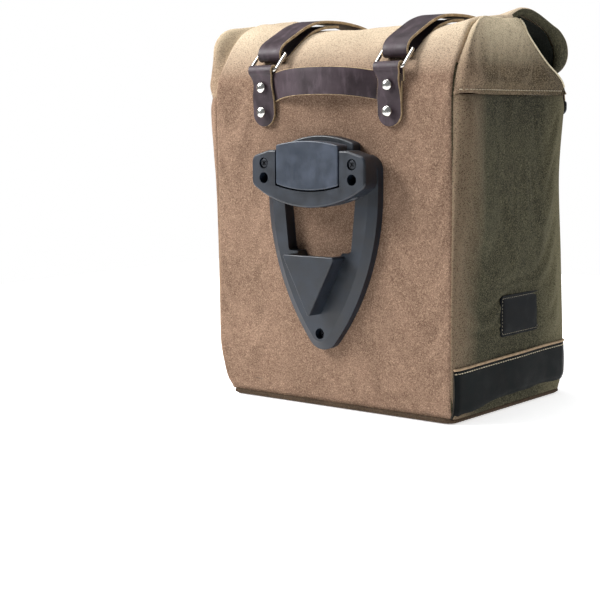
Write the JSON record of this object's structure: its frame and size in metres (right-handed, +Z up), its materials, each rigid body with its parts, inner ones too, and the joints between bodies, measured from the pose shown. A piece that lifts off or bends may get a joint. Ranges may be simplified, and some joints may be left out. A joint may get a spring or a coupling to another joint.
{
  "type": "pannier bag",
  "caption": "Roll-top bicycle pannier bag with leather straps, carry handle, leather foot guards and a quick-release carrier holder.",
  "frame": {"origin": "middle of the bag's footprint, on the ground, halfway between the gussets and nearly halfway between the mounting face and the outer face", "axes": "+X to the bag's right seen from the bicycle, -Y towards the bicycle (mounting side), +Z up"},
  "size_m": [0.308, 0.2616, 0.401],
  "materials": {
    "suede": "matt napped suede, tan",
    "strap_leather": "smooth dark brown leather, satin",
    "band_leather": "smooth black-green leather, satin",
    "nickel": "polished nickel plate",
    "holder_plastic": "fine-textured satin moulding, slate black",
    "steel": "bright steel",
    "board": "black polyethylene board",
    "backing": "mill finish"
  },
  "bodies": {
    "bag": {"mounting_panel": "suede", "outer_panel": "suede", "outer_collar": "suede", "gusset_left": "suede", "gusset_right": "suede", "gusset_collar_left": "suede", "gusset_collar_right": "suede", "base_panel": "suede", "tab_left": "strap_leather", "tab_right": "strap_leather", "carry_handle": "strap_leather", "anchor_left": "strap_leather", "anchor_right": "strap_leather", "corner_loop_left": "strap_leather", "corner_loop_right": "strap_leather", "band_left": "band_leather", "band_right": "band_leather", "band_outer": "band_leather", "label_patch": "band_leather", "tab_rivets_left": "nickel", "tab_rivets_right": "nickel", "anchor_rivets_left": "nickel", "anchor_rivets_right": "nickel", "magnet_seat_left": "nickel", "magnet_seat_right": "nickel", "holder_plate": "holder_plastic", "holder_head": "holder_plastic", "lever_pin": "steel", "lever_spring": "steel", "head_screws": "steel", "plate_screw": "steel", "holder_nuts": "steel", "stiffener_board": "board", "backing_plate": "backing"},
    "flap": {"roll_flap": "suede"},
    "ring_left": {"ring_left": "nickel"},
    "ring_right": {"ring_right": "nickel"},
    "strap_left": {"strap_left": "strap_leather", "strap_magnet_left": "nickel"},
    "strap_right": {"strap_right": "strap_leather", "strap_magnet_right": "nickel"},
    "lever": {"release_lever": "holder_plastic", "lever_claw": "steel"},
    "corner_ring_left": {"corner_ring_left": "nickel"},
    "corner_ring_right": {"corner_ring_right": "nickel"}
  },
  "joints": [
    {"name": "roll_top_open", "type": "hinge", "parent": "bag", "child": "flap", "pos_m": [0, 0.009, 0.394], "axis": [1, 0, 0], "range_deg": [0, 100]},
    {"name": "ring_left_swing", "type": "hinge", "parent": "bag", "child": "ring_left", "pos_m": [-0.08, -0.1131, 0.3475], "axis": [1, 0, 0], "range_deg": [0, 20]},
    {"name": "strap_left_swing", "type": "hinge", "parent": "ring_left", "child": "strap_left", "pos_m": [-0.08, -0.096, 0.3648], "axis": [1, 0, 0], "range_deg": [0, 150]},
    {"name": "ring_right_swing", "type": "hinge", "parent": "bag", "child": "ring_right", "pos_m": [0.08, -0.1131, 0.3475], "axis": [1, 0, 0], "range_deg": [0, 20]},
    {"name": "strap_right_swing", "type": "hinge", "parent": "ring_right", "child": "strap_right", "pos_m": [0.08, -0.096, 0.3648], "axis": [1, 0, 0], "range_deg": [0, 150]},
    {"name": "release_lever_pull", "type": "hinge", "parent": "bag", "child": "lever", "pos_m": [0, -0.134, 0.236], "axis": [1, 0, 0], "range_deg": [0, 8], "stiffness_Nm_per_rad": 0.6, "springref_deg": -2.86},
    {"name": "corner_ring_left_swing", "type": "hinge", "parent": "bag", "child": "corner_ring_left", "pos_m": [-0.145, 0.1106, 0.313], "axis": [1, 0, 0], "range_deg": [0, 80]},
    {"name": "corner_ring_right_swing", "type": "hinge", "parent": "bag", "child": "corner_ring_right", "pos_m": [0.145, 0.1106, 0.313], "axis": [1, 0, 0], "range_deg": [0, 80]}
  ],
  "couplings": [
    {"joint": "strap_left_swing", "follows": "roll_top_open", "ratio": 1.5},
    {"joint": "strap_right_swing", "follows": "roll_top_open", "ratio": 1.5}
  ]
}
